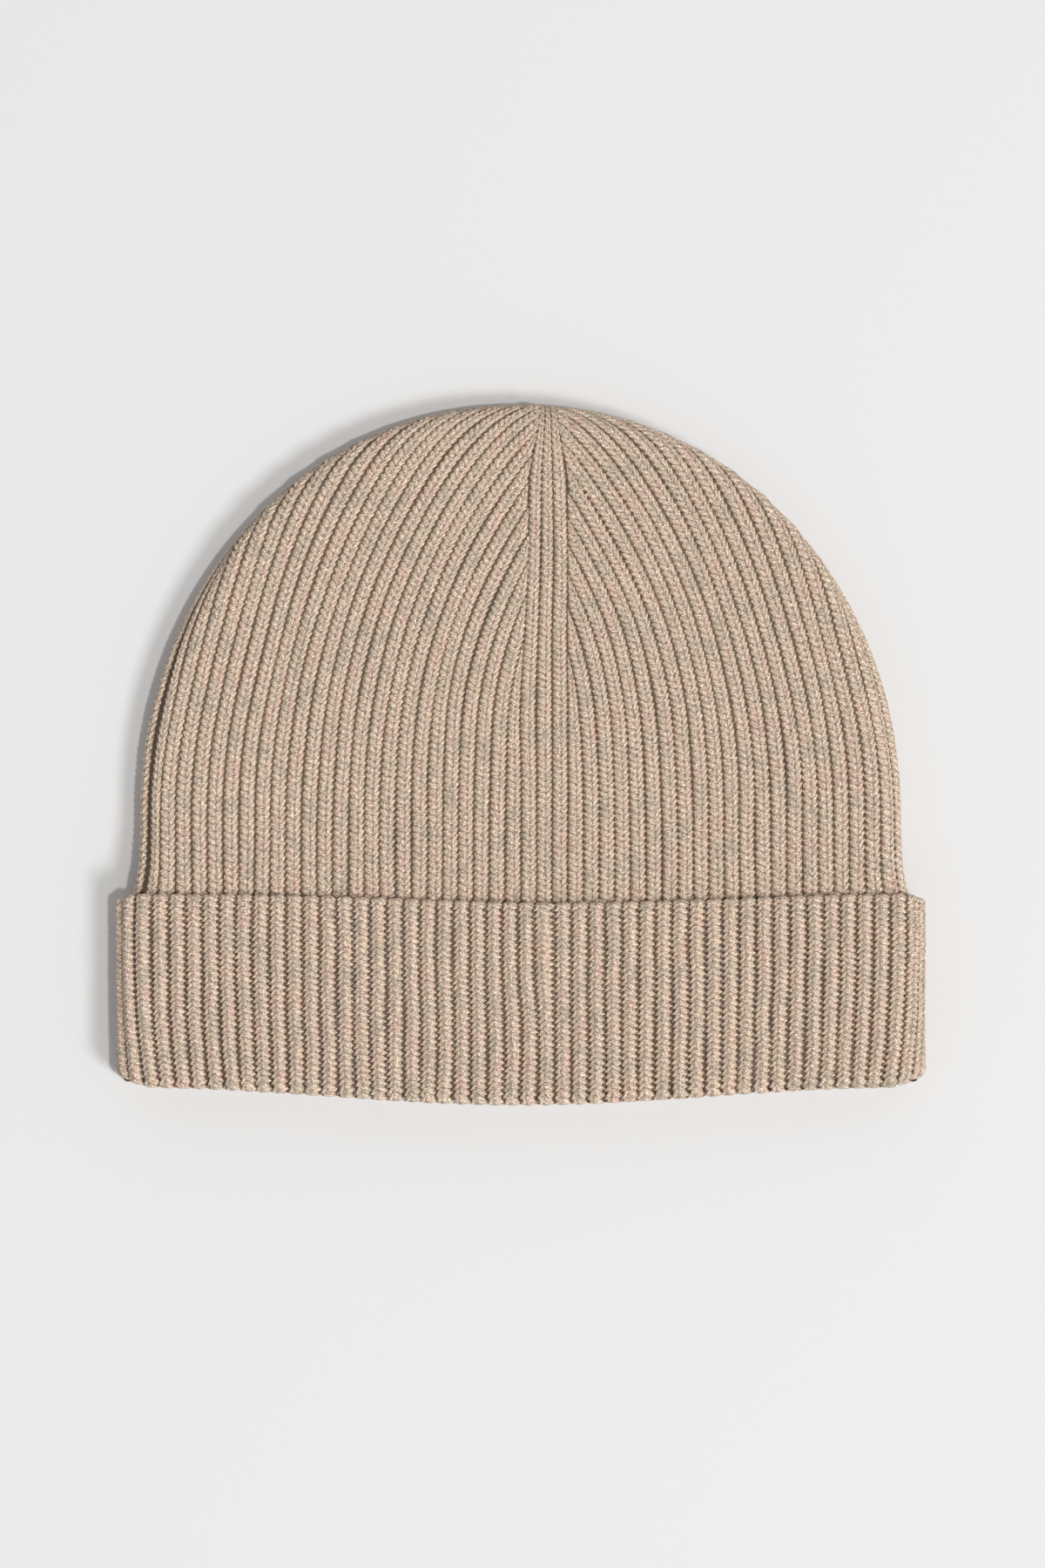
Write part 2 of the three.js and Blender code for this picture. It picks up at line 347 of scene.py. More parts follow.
# ---------------------------------------------------------------- one rib of stitches

STEEPEST_LEAN, LEFT_LEAN_SLANT = 0.9, 0.8
BEAD_SWAY, BEAD_SWAY_PACE = 0.7, 6
FIELD_START = 20
GROOVE_TAPER, GUTTER_TAPER = 0.55, 0.25
GRAIN_ROUNDNESS = 0.97
STITCH_UNEVENNESS, SWELL_HEIGHT = 0.5, 0.12
# Painted shade: how much darker the yarn is painted in the creases between grains, by the groove
# and in the gutters.
CREASE_SHADE, GROOVE_SHADE, GUTTER_SHADE = 0.66, 0.28, 0.20
GUTTER_LIGHT, GUTTER_TOP, CREST_START = 0.05, 0.10, 0.52


def rib_roundness(across, valley):
    """1 on the crest of a rib and 0 in the gutters beside it."""
    return np.maximum(1 - np.abs(across) ** RIB_CURVE, 0.0) ** valley


def bead(phase):
    """1 in the middle of each grain of yarn and -1 where two grains meet."""
    return -np.cos(2 * math.pi * phase)


def strand_places(across, course, style, lean):
    """For points on the two legs of a stitch: which is the wide leg, how far along, and phase."""
    groove = style.groove
    left = across < groove
    leg = np.where(left, (groove - across) / (groove + 1), (across - groove) / (1 - groove))
    wide = left if groove > 0 else ~left
    tilt = np.tan(np.clip(lean, -STEEPEST_LEAN, STEEPEST_LEAN))
    slant = np.where(wide, WIDE_SLANT, NARROW_SLANT)
    slant = slant + np.where(left, LEFT_LEAN_SLANT * np.maximum(-tilt, 0), np.abs(tilt))
    return wide, leg, course - slant * leg


def bulge(across, course, rib, style, lean=0.0):
    """Each stitch swells out over the gutter beside it, as a share of half the rib's width."""
    phase = strand_places(across, course, style, lean)[2]
    uneven = rib_sway(rib + 0.5 * np.sign(across), course * BEAD_SWAY_PACE)
    swell = style.beads * (1 + BEAD_SWAY * uneven)
    return swell * bead(phase) * np.sign(across) * np.abs(across) ** 3


def stitch_relief(across, course, rib, style, lean=0.0):
    """Height of the yarn over a rib, the share of painted light on it (lower where shade is
    painted), and its place along the strands.

    across runs from -1 to 1 over the rib. The two legs of a stitch part at the style's groove,
    and each is a plump grain of yarn that slants up and away from it. Where the crown narrows
    the ribs lean, and the legs slant more.
    """
    wide, leg, phase = strand_places(across, course, style, lean)
    stroke = np.floor(phase)
    from_axis = 2 * (phase - stroke) - 1
    from_middle = 2 * leg - 1
    size = stitch_size(rib + 0.5 * wide, stroke + FIELD_START)
    towards_groove = np.maximum(-from_middle, 0.0)
    towards_gutter = np.maximum(from_middle, 0.0)
    ends = 1 - GROOVE_TAPER * towards_groove**2.5 - GUTTER_TAPER * towards_gutter**3
    grain = np.sqrt(1 - GRAIN_ROUNDNESS * from_axis**2) * ends
    serrated = across * (1 - style.beads * bead(phase) * np.abs(across) ** 3)
    round_rib = rib_roundness(np.clip(serrated, -1.0, 1.0), style.valley)
    stroke_depth = STROKE_DEPTH * (1 + STITCH_UNEVENNESS * size)
    relief = style.height * round_rib + stroke_depth * (grain - 1)
    relief = relief + SWELL_HEIGHT * cloth_swell(rib, course + FIELD_START)
    # Painted shade: the yarn's colour is darkened in the creases between grains and down into the
    # gutters, where shade falls.
    creased = CREASE_SHADE + GROOVE_SHADE * towards_groove**2 + GUTTER_SHADE * towards_gutter**2
    out_of_gutter = mix(GUTTER_LIGHT, 1.0, smooth_step(GUTTER_TOP, CREST_START, round_rib))
    painted_light_share = (1 - creased * (1 - grain)) * out_of_gutter
    return relief, painted_light_share, phase


class KnitMesh:
    """Collects strips of stitches and makes one mesh object of them."""

    def __init__(self):
        self.points, self.quads = [], []
        self.knit, self.strand, self.bake, self.painted_light = [], [], [], []
        self.count = 0

    def add_grid(self, points, knit_uv, strand_uv, bake_uv, painted_light, flip=False):
        rows, columns = points.shape[:2]
        index = self.count + np.arange(rows * columns).reshape(rows, columns)
        a, b = index[:-1, :-1], index[:-1, 1:]
        c, d = index[1:, 1:], index[1:, :-1]
        order = [a, d, c, b] if flip else [a, b, c, d]
        self.quads.append(np.stack(order, axis=-1).reshape(-1, 4))
        self.points.append(points.reshape(-1, 3))
        self.knit.append(knit_uv.reshape(-1, 2))
        self.strand.append(strand_uv.reshape(-1, 2))
        self.bake.append(bake_uv.reshape(-1, 2))
        self.painted_light.append(painted_light.reshape(-1))
        self.count += rows * columns

    def build(self, name, material):
        points = np.concatenate(self.points) * MM
        quads = np.concatenate(self.quads)
        mesh = bpy.data.meshes.new(name)
        mesh.vertices.add(len(points))
        mesh.vertices.foreach_set("co", points.astype(np.float32).ravel())
        mesh.loops.add(quads.size)
        mesh.loops.foreach_set("vertex_index", quads.ravel().astype(np.int32))
        mesh.polygons.add(len(quads))
        starts = np.arange(0, quads.size, 4, dtype=np.int32)
        mesh.polygons.foreach_set("loop_start", starts)
        mesh.update(calc_edges=True)
        mesh.polygons.foreach_set("use_smooth", np.ones(len(quads), bool))
        layers = {"OFBake": self.bake, "Knit": self.knit, "Strand": self.strand}
        for layer, values in layers.items():
            uv = mesh.uv_layers.new(name=layer)
            loops = np.concatenate(values)[quads.ravel()]
            uv.data.foreach_set("uv", loops.astype(np.float32).ravel())
        # The painted light level is 1 where the yarn is lit and lower where shade is painted into
        # its colour.
        painted_light = mesh.attributes.new("painted_light", "FLOAT", "POINT")
        painted_light.data.foreach_set("value", np.concatenate(self.painted_light).astype(np.float32))
        mesh.materials.append(material)
        mesh.update()
        piece = bpy.data.objects.new(name, mesh)
        bpy.context.scene.collection.objects.link(piece)
        return piece


COURSES = 112
BAKE_BLOCKS = {"outer": (0.0, 0.49), "inner": (0.5, 0.38), "lining": (0.89, 0.10)}
BAKE_HALF_RIB = 0.48
# Painted shade: the lining is painted nearly black, as the shade at the bottoms of the gutters.
LINING_PAINTED_LIGHT = 0.12
LINING_HEIGHT = -0.1
LINING_COLUMNS = 161
OUTLINE_STEPS = 400
EDGE_PAST_APEX, SEAM_PAST_APEX = 0.2, 0.1


def bake_place(rib, across, course, block):
    """A place in the 0 to 1 square that no other stitch of the piece shares."""
    u = (rib + 0.5 + across * BAKE_HALF_RIB) / FACE_RIBS
    start, size = BAKE_BLOCKS[block]
    v = start + size * np.clip(course / COURSES, 0, 1)
    return pair(u, v)


def line_of_rib(left, right, heights):
    """Centre, half width and lean of the rib between two gutter lines."""
    centre = (left + right) / 2
    lean = np.arctan(np.gradient(centre, heights))
    half = (right - left) / 2 * np.cos(lean)
    return centre, half, lean


class RibPath:
    """A rib laid out at even steps along its courses: flat centre, half width and lean."""

    def __init__(self, x, y, half, lean, rows_per_course):
        first_course = (y[0] - RIM_Y) / course_height(x[0], y[0])
        lengths = np.hypot(np.diff(x), np.diff(y))
        mid_x, mid_y = (x[1:] + x[:-1]) / 2, (y[1:] + y[:-1]) / 2
        course = np.concatenate([[0], np.cumsum(lengths / course_height(mid_x, mid_y))])
        steps = max(int(course[-1] * rows_per_course), 1)
        self.course = np.arange(steps + 1) / rows_per_course
        self.x = np.interp(self.course, course, x)
        self.y = np.interp(self.course, course, y)
        self.half = np.interp(self.course, course, half)
        self.lean = np.interp(self.course, course, lean)
        self.course = self.course + first_course


def rib_limits(rib, lines):
    """The gutter lines on both sides of a rib, and how many of HEIGHTS it reaches up."""
    if FIRST_SPINE <= rib <= LAST_SPINE:
        return SPINE[rib], SPINE[rib + 1], len(HEIGHTS)
    side = -1 if rib < FIRST_SPINE else 1
    left, right = lines[side][rib], lines[side][rib + 1]
    full = right - left
    tucked = TUCKED * APEX_SQUEEZE
    edge = edge_of_ribs(HEIGHTS, side)
    if side < 0:
        left = np.maximum(left, -edge)
        right = np.minimum(right, SPINE[FIRST_SPINE] + tucked)
    else:
        left = np.maximum(left, SPINE[LAST_SPINE + 1] - tucked)
        right = np.minimum(right, edge)
    gone = right - left <= THINNEST_RIB * full
    last = int(np.argmax(gone)) if gone.any() else len(HEIGHTS)
    return left, right, last


def body_rib_paths(rows_per_course):
    """Every rib of one face of the body, as {rib number: RibPath}."""
    lines = {side: trace_lines(side) for side in (-1, 1)}
    paths = {}
    for rib in range(EDGE_RIBS[-1], FACE_RIBS - EDGE_RIBS[1]):
        left, right, last = rib_limits(rib, lines)
        first = int(np.argmax(HEIGHTS > rim_line(left[0])))
        span = slice(first, last)
        centre, half, lean = line_of_rib(left[span], right[span], HEIGHTS[span])
        paths[rib] = RibPath(centre, HEIGHTS[span], half, lean, rows_per_course)
    for side in (-1, 1):
        for place in range(EDGE_RIBS[side]):
            rib = place if side < 0 else FACE_RIBS - 1 - place
            paths[rib] = edge_rib_path(side, place, rows_per_course)
    return paths


def crown_outline(turn):
    """The crown's outline on the right side; turn runs from 0 at its base."""
    power = 2 / CROWN_POWER
    x = UNROLLED_HALF * (np.sign(np.cos(turn)) * np.abs(np.cos(turn)) ** power)
    return x, CROWN_BASE + UNROLLED_CROWN * np.sin(turn) ** power


def edge_outline():
    """The hat's outline on the right side, from the rim to just past the apex."""
    tube_y = HEIGHTS[(HEIGHTS < CROWN_BASE) & (HEIGHTS > rim_line(UNROLLED_HALF))]
    crown_x, crown_y = crown_outline(np.linspace(0, QUARTER + EDGE_PAST_APEX, OUTLINE_STEPS))
    x = np.concatenate([np.full(len(tube_y), UNROLLED_HALF), crown_x])
    return x, np.concatenate([tube_y, crown_y])


def edge_rib_path(side, place, rows_per_course):
    """A rib that keeps beside the outline, from the rim to the seam at the apex."""
    x, y = edge_outline()
    along = unit(np.stack([np.gradient(x), np.gradient(y)], axis=-1))
    width = TUBE_PITCH * edge_share(y)
    inwards = (place + 0.5) * width
    if side < 0 and place == 1:
        creased = LEFT_CREASE * width
        inwards = inwards + creased / 2
        width = width - creased
    x = side * (x - along[:, 1] * inwards)
    y = y + along[:, 0] * inwards
    stop = SPINE[FIRST_SPINE] if side < 0 else SPINE[LAST_SPINE + 1]
    limit = np.interp(y, HEIGHTS, stop - side * 2 * TUCKED)
    keep = (x < limit) if side < 0 else (x > limit)
    x, y, width = x[keep], y[keep], width[keep]
    lean = np.unwrap(np.arctan2(np.gradient(x), np.gradient(y)))
    return RibPath(x, y, width / 2, lean, rows_per_course)


def rib_grid(path, rib, across_count, style, face, block, outwards=1.0, spread=RIB_SPREAD):
    """The points of one rib of the body, with its painted light level and pattern places."""
    across = np.linspace(-1, 1, across_count)[None, :]
    course = path.course[:, None]
    lean = path.lean[:, None]
    sway = SWAY * TUBE_PITCH * rib_sway(rib + 0.5, course) * smooth_step(0, 6, course)
    width_share = np.clip(path.half / (TUBE_PITCH / 2), 0.0, 1.0)[:, None] ** 0.8
    swelling = bulge(across, course, rib + 0.5, style, lean)
    offset = (across + swelling) * path.half[:, None] * spread + sway
    x = path.x[:, None] + np.cos(lean) * offset
    y = path.y[:, None] - np.sin(lean) * offset
    relief, painted_light, phase = stitch_relief(across, course, rib + 0.5, style, lean)
    points = body_surface(x, y, outwards * relief * width_share, face)
    along = rib + 0.5 + across * 0.5
    bake_uv = bake_place(rib, across, course, block)
    return points, pair(along, course), pair(along, phase), bake_uv, painted_light


def split_at(path, y):
    """How many rows of the path lie below that height."""
    above = path.y >= y
    return int(np.argmax(above)) if above.any() else len(path.y)


def add_rows(target, grid, rows, flip):
    if rows.stop - rows.start > 1:
        target.add_grid(*(field[rows] for field in grid), flip)


def lining_grid(x, y, points, pitch):
    """A smooth layer in the middle of the fabric, which closes the bottoms of the gutters and is
    painted dark as the shade down in them.
    """
    half = FACE_RIBS * pitch / 2
    rib = (x + half) / pitch
    course = (y - FOLD_Y) / CUFF_COURSE
    knit_uv = pair(rib, course)
    bake_uv = bake_place(rib - 0.5, 0.0, course, "lining")
    painted_light = np.full(points.shape[:2], LINING_PAINTED_LIGHT)
    return points, knit_uv, knit_uv, bake_uv, painted_light


def tube_lining(face):
    across = np.linspace(-1, 1, LINING_COLUMNS)[None, :]
    up = np.linspace(0, 1, 24)[:, None]
    x = across * UNROLLED_HALF + 0 * up
    y = mix(rim_line(x), CROWN_BASE, up)
    return lining_grid(x, y, body_surface(x, y, LINING_HEIGHT, face), TUBE_PITCH)


def gore_lining(side, face):
    across = np.linspace(0, 1, 90)[None, :]
    up = np.sin(np.linspace(0, 1, 60) * QUARTER)[:, None]
    y = CROWN_BASE + UNROLLED_CROWN * up + 0 * across
    seam_x = np.interp(y, HEIGHTS, SPINE[SEAM_RIB])
    outline = side * np.maximum(edge_line(y, 0.0), side * seam_x)
    x = mix(seam_x, outline, 1 - (1 - across) ** 1.6)
    return lining_grid(x, y, body_surface(x, y, LINING_HEIGHT, face), TUBE_PITCH)


def build_body_lining(pieces):
    for face, face_name in FACES:
        pieces["body_tube_%s" % face_name].add_grid(*tube_lining(face), flip=face < 0)
        for side, side_name in SIDES:
            gore = pieces["crown_gore_%s_%s" % (face_name, side_name)]
            gore.add_grid(*gore_lining(side, face), flip=face * side < 0)


def add_body_rib(pieces, face_name, rib, path, grid, flip):
    """Shares one rib out between the tube and its gore, at the base of the crown."""
    side_name = "left" if rib < SEAM_RIB else "right"
    cut = split_at(path, CROWN_BASE)
    add_rows(pieces["body_tube_%s" % face_name], grid, slice(0, cut + 1), flip)
    gore = pieces["crown_gore_%s_%s" % (face_name, side_name)]
    add_rows(gore, grid, slice(cut, len(path.y)), flip)


def build_body(pieces):
    """Fills the tube's and the gores' meshes with the ribs of both faces, outside and inside."""
    fine = body_rib_paths(ROWS_FINE)
    plain = body_rib_paths(ROWS_PLAIN)
    for face, face_name in FACES:
        paths = fine if face > 0 else plain
        across_count = ACROSS_FINE if face > 0 else ACROSS_PLAIN
        for rib, path in paths.items():
            grid = rib_grid(path, rib, across_count, BODY_RIB, face, "outer")
            add_body_rib(pieces, face_name, rib, path, grid, face < 0)
        for rib, path in plain.items():
            grid = rib_grid(path, rib, ACROSS_INNER, INNER_RIB, face, "inner", -1.0, INNER_SPREAD)
            add_body_rib(pieces, face_name, rib, path, grid, face > 0)


# ---------------------------------------------------------------- the cuff

CUFF_MID_HALF = CUFF_HALF_WIDTH - HALF_FABRIC
CUFF_MID_RADIUS = CUFF_THICKNESS / 2 - HALF_FABRIC
CUFF_UNROLLED = CUFF_MID_HALF + UNROLLED_EXTRA * CUFF_MID_RADIUS
CUFF_PITCH = 2 * CUFF_UNROLLED / FACE_RIBS
CUFF_COURSE = 1.78
FOLD_RADIUS = (FABRIC + LAYER_GAP) / 2
LIP_UP = 6.0
CUFF_DRIFT = 4.4
SEAM_JOG = 1.9
HEM_RADIUS = 1.5
FOLD_ARC = math.pi * FOLD_RADIUS
FOLD_FILL, FILLED_HEIGHT = 0.72, 0.8
JOG_START, JOG_REACH = 2.5, 14
JOG_BOTTOM, JOG_TOP = -80, -58
DRIFT_IN, DRIFT_OUT = 1.3, 0.3
CUFF_PATTERN_START = 60.5
WALL_ROWS, WALL_STEPS, FOLD_ROWS = 19, 18.525, 9
HEM_OVERLAP, HEM_ROWS = 0.05, 15
HEM_FILL, HEM_LIGHT = 0.5, 0.4
HEM_BAKE_START, HEM_BAKE_SIZE = {1: 0.02, -1: 0.52}, 0.45


def cuff_loop(x, outwards, face):
    """Where flat x lies round the cuff's loop, moved outwards; returns x and z."""
    distance = np.minimum(CUFF_UNROLLED - np.abs(x), CUFF_MID_RADIUS * QUARTER)
    angle = distance / CUFF_MID_RADIUS
    straight = CUFF_MID_HALF - CUFF_MID_RADIUS
    on_roll = angle < QUARTER - 1e-9
    px = np.where(on_roll, np.sign(x) * (straight + CUFF_MID_RADIUS * np.cos(angle)), x)
    pz = CUFF_THICKNESS / 2 + face * CUFF_MID_RADIUS * np.sin(angle)
    px = px + np.sign(x) * np.cos(angle) * outwards
    pz = pz + face * np.sin(angle) * outwards
    return px, pz


def cuff_wall(x):
    """The top of the cuff's flat layer, and its length down to the start of the fold."""
    top = float(hem_line(x)) - HEM_RADIUS
    bottom = float(fold_line(x)) + FOLD_RADIUS + HALF_FABRIC
    return top, top - bottom


def cuff_sway(x, y, face):
    """Sideways drift of the ribs: inwards near the fold, and on the back over to the seam."""
    seam_x = -CUFF_UNROLLED + SEAM_RIB * CUFF_PITCH
    gap = np.maximum(seam_x - x, 0)
    beside = np.exp(-gap / JOG_REACH) * (1 - np.exp(-gap / JOG_START))
    jog = -SEAM_JOG * beside * smooth_step(JOG_BOTTOM, JOG_TOP, y) if face > 0 else 0.0
    down = np.clip((HEM_Y - y) / (HEM_Y - FOLD_Y), 0.0, 1.0)
    bend = DRIFT_IN * down**2.6 - DRIFT_OUT * down
    outermost = np.minimum(np.abs(x) / CUFF_HALF_WIDTH, 1.0) ** 2.8
    return jog - np.sign(x) * face * CUFF_DRIFT * bend * outermost


def cuff_rib_x(rib, across, course, y, face):
    """Flat x over one rib of the cuff."""
    sway = SWAY * rib_sway(rib + 0.5, course * 2) * smooth_step(0, 5, course)
    centre = -CUFF_UNROLLED + (rib + 0.5) * CUFF_PITCH
    swelling = bulge(np.clip(across, -1, 1), course, rib + 0.5, CUFF_RIB)
    x = centre + (across + swelling) * CUFF_PITCH / 2 * RIB_SPREAD + sway * CUFF_PITCH
    return x + cuff_sway(x, y, face)


def cuff_fields(rib, across, course, phase, block, painted_light):
    """What every grid of the cuff carries beside its points."""
    along = rib + CUFF_PATTERN_START + across * 0.5
    bake_uv = bake_place(rib, across, course * 2, block)
    return pair(along, course), pair(along, phase), bake_uv, painted_light


def cuff_grid(rib, across_count, rows_per_course, face):
    """One rib of the cuff: down the outside, round the fold and a little way up inside."""
    across = np.linspace(-1, 1, across_count)[None, :]
    centre = -CUFF_UNROLLED + (rib + 0.5) * CUFF_PITCH
    top, wall = cuff_wall(centre)
    courses = (wall + FOLD_ARC + LIP_UP) / CUFF_COURSE
    steps = int(courses * rows_per_course)
    course = (np.arange(steps + 1) / rows_per_course)[:, None]
    along = course * CUFF_COURSE
    turn = np.clip((along - wall) / FOLD_ARC, 0, 1) * math.pi
    down = np.minimum(along, wall)
    back_up = np.maximum(along - wall - FOLD_ARC, 0)
    y_mid = top - down - FOLD_RADIUS * np.sin(turn) + back_up
    depth_mid = FOLD_RADIUS * (1 - np.cos(turn))
    relief, painted_light, phase = stitch_relief(across, course, rib + 0.5, CUFF_RIB)
    relief = mix(relief, FILLED_HEIGHT * CUFF_RIB.height, FOLD_FILL * np.sin(turn))
    y = y_mid - np.sin(turn) * relief
    outwards = -depth_mid + np.cos(turn) * relief
    x = cuff_rib_x(rib, across, course, y_mid, face)
    px, pz = cuff_loop(x, outwards, face)
    return trio(px, y, pz), *cuff_fields(rib, across, course, phase, "outer", painted_light)


def cuff_back_grid(rib, face):
    """The cuff's hidden side, which faces the tube: plain low ribs."""
    across = np.linspace(-1, 1, ACROSS_INNER)[None, :]
    centre = -CUFF_UNROLLED + (rib + 0.5) * CUFF_PITCH
    top, wall = cuff_wall(centre)
    steps = int(wall / CUFF_COURSE * 2)
    course = (np.arange(steps + 1) / 2)[:, None]
    y = top - course * CUFF_COURSE
    relief, painted_light, phase = stitch_relief(across, course, rib + 0.5, INNER_RIB)
    x = cuff_rib_x(rib, across * INNER_SPREAD, course, y, face)
    px, pz = cuff_loop(x, -relief, face)
    return trio(px, y, pz), *cuff_fields(rib, across, course, phase, "inner", painted_light)


def cuff_lining(face):
    """The smooth middle layer of the cuff, from its top round the fold and up inside."""
    across = np.linspace(-1, 1, LINING_COLUMNS)[None, :]
    x = across * CUFF_UNROLLED
    down = np.arange(WALL_ROWS) / WALL_STEPS
    fold = np.linspace(0, math.pi, FOLD_ROWS)
    turn = np.concatenate([np.zeros(WALL_ROWS), fold, [math.pi]])[:, None]
    wall = np.concatenate([down, np.ones(FOLD_ROWS + 1)])[:, None]
    back_up = np.concatenate([np.zeros(WALL_ROWS + FOLD_ROWS), [LIP_UP]])[:, None]
    top = hem_line(x) - HEM_RADIUS
    bottom = fold_line(x) + FOLD_RADIUS + HALF_FABRIC
    y = mix(top, bottom, wall) - FOLD_RADIUS * np.sin(turn) + back_up
    outwards = -FOLD_RADIUS * (1 - np.cos(turn)) + LINING_HEIGHT * np.cos(turn)
    px, pz = cuff_loop(x + cuff_sway(x, y, face), outwards, face)
    return lining_grid(x, y, trio(px, y, pz), CUFF_PITCH)


def build_cuff(pieces):
    for face, face_name in FACES:
        across_count = ACROSS_FINE if face > 0 else ACROSS_PLAIN
        rows = ROWS_FINE if face > 0 else ROWS_PLAIN
        piece = pieces["cuff_%s" % face_name]
        piece.add_grid(*cuff_lining(face), flip=face > 0)
        for rib in range(FACE_RIBS):
            piece.add_grid(*cuff_grid(rib, across_count, rows, face), flip=face > 0)
            piece.add_grid(*cuff_back_grid(rib, face), flip=face < 0)


def hem_grid(rib, face):
    """The rounded top of one rib of the cuff, rolled over from its outer to its inner side."""
    across = np.linspace(-1, 1, ACROSS_FINE)[None, :]
    turn = np.linspace(-HEM_OVERLAP, 1.0, HEM_ROWS)[:, None] * math.pi
    course = -turn * HEM_RADIUS / CUFF_COURSE
    relief, painted_light, phase = stitch_relief(across, course, rib + 0.5, CUFF_RIB)
    filled = HEM_FILL * np.sin(np.clip(turn, 0, QUARTER))
    back = smooth_step(QUARTER, math.pi, turn)
    radius = mix(mix(relief, HEM_RADIUS, filled), 1.0, back)
    flat_x = -CUFF_UNROLLED + (rib + 0.5 + across / 2) * CUFF_PITCH
    y = hem_line(flat_x) - HEM_RADIUS + radius * np.sin(turn)
    x = cuff_rib_x(rib, across * HEM_SPREAD, course * 0, y, face)
    px, pz = cuff_loop(x, radius * np.cos(turn), face)
    along = rib + CUFF_PATTERN_START + across * 0.5
    rolled = (turn / math.pi + HEM_OVERLAP) / (1 + HEM_OVERLAP)
    u = (rib + 0.5 + across * BAKE_HALF_RIB) / FACE_RIBS
    v = HEM_BAKE_START[face] + HEM_BAKE_SIZE * rolled
    # Less painted shade where the hem's top is filled and its gutters close.
    painted_light = mix(painted_light, 1.0, filled * HEM_LIGHT)
    return trio(px, y, pz), pair(along, course), pair(along, phase), pair(u, v), painted_light


def build_hem(piece):
    """The knitted starting edge, one rounded rib end beside another."""
    for face in (1, -1):
        for rib in range(FACE_RIBS):
            piece.add_grid(*hem_grid(rib, face), flip=face < 0)


# ---------------------------------------------------------------- yarn, knot and label

PLY_TURN = 2.4
YARN_SIDES = 10
PLY_VALLEY, PLY_DEPTH = 0.74, 0.26
YARN_PATTERN = 1.8
PLY_SHADE = 0.35
STEADY_UP = np.array([0.12, 0.05, 1.0])
SEAM_YARN, KNOT_YARN, STITCH_YARN = 0.45, 0.62, 0.2
SEWING_WAVE, SEWING_PITCH, SEWING_STEP = 0.25, 1.9, 0.35
SEAM_SINK, CUFF_SEAM_SINK = 0.5, 0.9
SEAM_CLEARANCE, HEM_CLEARANCE = 0.4, 0.8
SEAM_X = 9.0
KNOT_PLACE = (9.2, 90.4, CROWN_THICKNESS / 2)
KNOT_HALF_WIDTH, KNOT_HALF_HEIGHT = 1.25, 0.85
KNOT_SWING, KNOT_LOBES, KNOT_TURN = 1.55, 0.6, 0.985

def lay_yarn(mesh, line, radius, strip, strips):
    """A two-ply twisted yarn along a line of points; strip is its own band of the bake map."""
    steps = np.linalg.norm(np.diff(line, axis=0), axis=-1)
    along = np.concatenate([[0.0], np.cumsum(steps)])
    tangent = unit(np.gradient(line, axis=0))
    side = unit(np.cross(tangent, STEADY_UP))
    up = np.cross(side, tangent)
    round_angle = np.linspace(0, 2 * math.pi, YARN_SIDES + 1)[None, :]
    twist = (along * math.pi / PLY_TURN)[:, None]
    plies = PLY_VALLEY + PLY_DEPTH * np.abs(np.cos(round_angle - twist))
    from_end = np.minimum(along, along[-1] - along)[:, None]
    tapered = np.sqrt(np.clip(from_end / radius, 0.0, 1.0))
    reach = radius * plies * tapered
    points = line[:, None, :] + (reach * np.cos(round_angle))[..., None] * side[:, None, :]
    points = points + (reach * np.sin(round_angle))[..., None] * up[:, None, :]
    turn = round_angle / (2 * math.pi)
    place = along[:, None] / YARN_PATTERN
    u = (strip + 0.05 + 0.9 * turn) / strips
    v = 0.01 + 0.98 * along[:, None] / along[-1]
    # Painted shade in the valleys between the two plies.
    painted_light = mix(PLY_SHADE, 1.0, (plies - PLY_VALLEY) / PLY_DEPTH)
    strand = pair(turn * 2, place * 2 - turn)
    mesh.add_grid(points, pair(turn, place), strand, pair(u, v), painted_light, flip=True)


def stitched_line(x, y, face, sink):
    """A sewing line over the body fabric that dips in and out as it binds the edges."""
    along = np.concatenate([[0.0], np.cumsum(np.hypot(np.diff(x), np.diff(y)))])
    height = -sink + SEWING_WAVE * np.sin(along * math.pi / SEWING_PITCH)
    return body_surface(x, y, height, face)


def seam_line_up(face, low, high):
    y = np.arange(low, high, SEWING_STEP)
    x = np.interp(y, HEIGHTS, SPINE[SEAM_RIB])
    return stitched_line(x, y, face, SEAM_SINK)


def seam_line_beside(side):
    """Along the outline of the crown, from its base to the middle seam."""
    x, y = crown_outline(np.linspace(0, QUARTER + SEAM_PAST_APEX, OUTLINE_STEPS))
    x = side * x
    keep = side * (x - SPINE[SEAM_RIB][-1]) > SEAM_CLEARANCE
    return stitched_line(x[keep], y[keep], 1, SEAM_SINK)


def cuff_seam_line():
    seam_x = -CUFF_UNROLLED + SEAM_RIB * CUFF_PITCH
    low = float(fold_line(seam_x)) + FOLD_DEPTH
    y = np.arange(low, float(hem_line(seam_x)) - HEM_CLEARANCE, SEWING_STEP)
    x = seam_x + cuff_sway(seam_x, y, 1)
    height = -CUFF_SEAM_SINK + SEWING_WAVE * np.sin(y * math.pi / SEWING_PITCH)
    px, pz = cuff_loop(x, height, 1)
    return trio(px, y, pz)


def knot_line():
    """The tail of the crown yarn, drawn tight into a knot."""
    turn = np.linspace(0, 2 * math.pi * KNOT_TURN, 150)
    swing = KNOT_SWING + KNOT_LOBES * np.cos(3 * turn)
    x = KNOT_PLACE[0] + KNOT_HALF_WIDTH * swing * np.cos(2 * turn)
    y = KNOT_PLACE[1] + KNOT_HALF_HEIGHT * swing * np.sin(2 * turn)
    z = KNOT_PLACE[2] + KNOT_HALF_HEIGHT * np.sin(3 * turn)
    return trio(x, y, z)


